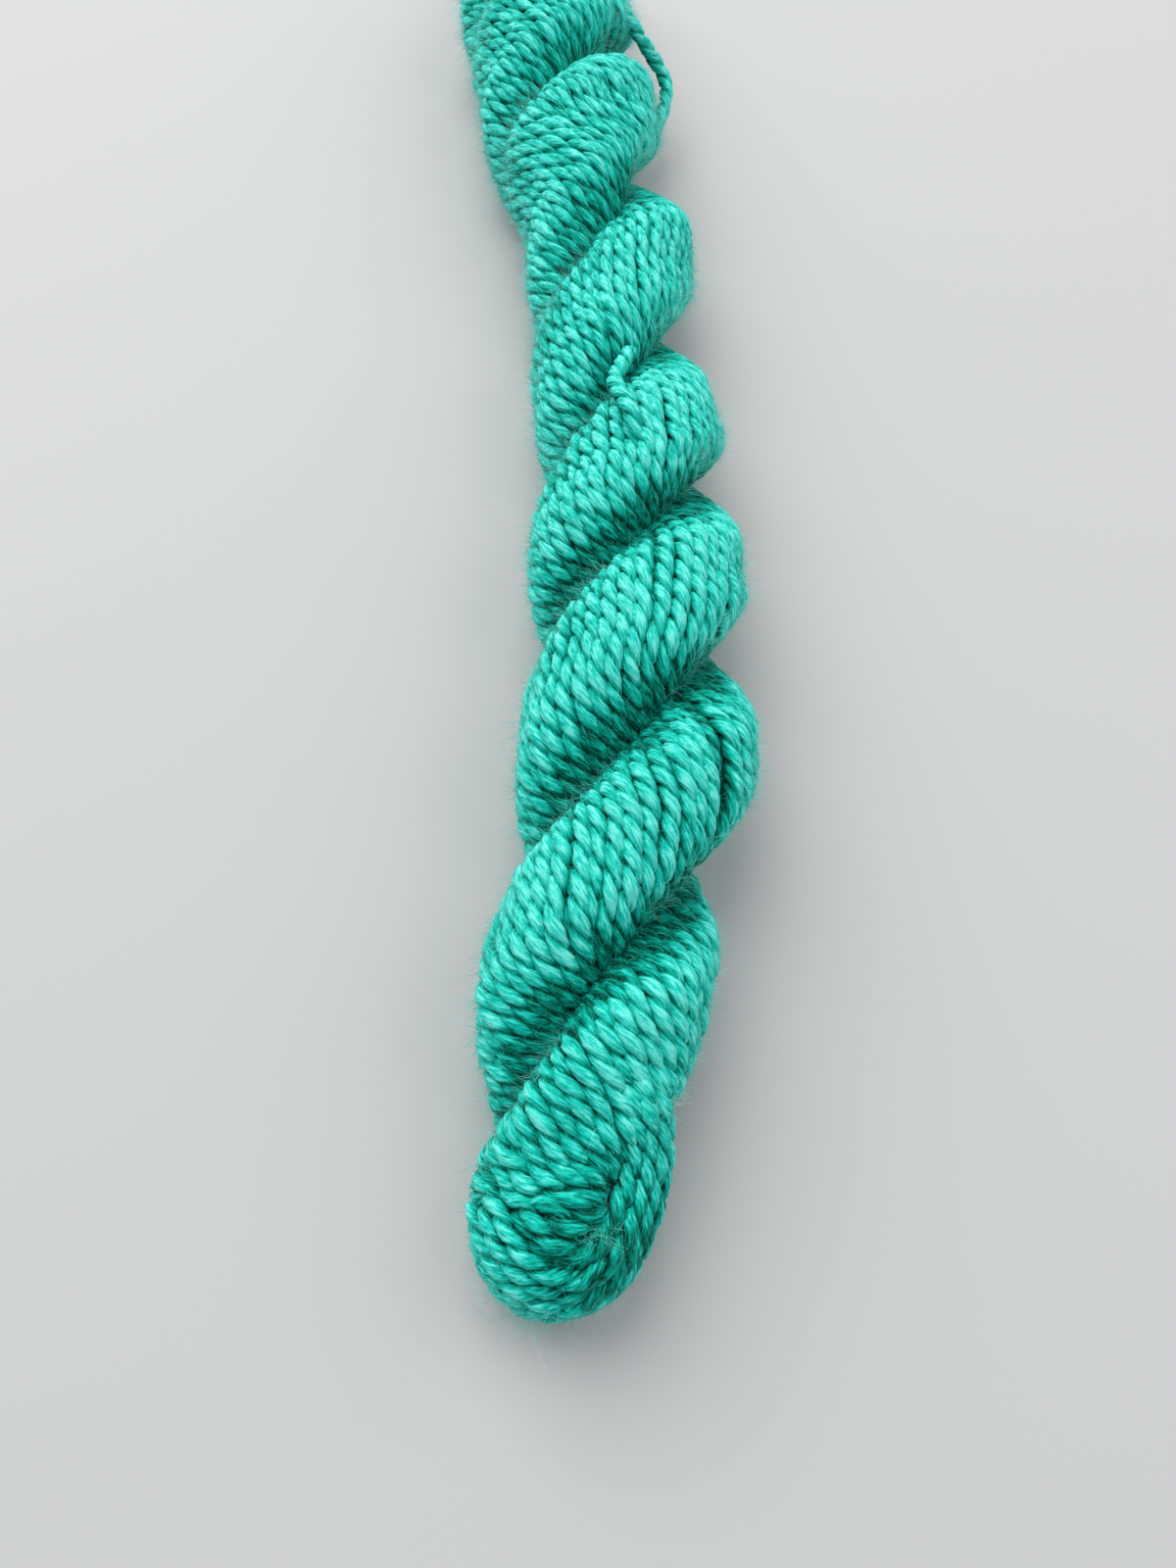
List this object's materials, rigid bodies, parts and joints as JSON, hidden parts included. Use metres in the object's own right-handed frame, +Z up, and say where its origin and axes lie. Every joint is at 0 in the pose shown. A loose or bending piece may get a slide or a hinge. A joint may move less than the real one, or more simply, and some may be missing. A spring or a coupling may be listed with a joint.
{
  "type": "yarn hank",
  "caption": "Small hank of two-ply yarn, twisted, folded in half and plied back on itself like a rope, lying flat on a surface.",
  "frame": {"origin": "middle of the hank's box, on the surface that it rests on", "axes": "+Y along the hank, away from the near fold; +Z up; +X to the right seen from the near fold"},
  "size_m": [0.051, 0.283, 0.0298],
  "materials": {
    "yarn": "silky sea-green two-ply yarn with a soft halo"
  },
  "bodies": {
    "root": {"hank": "yarn"}
  },
  "joints": []
}
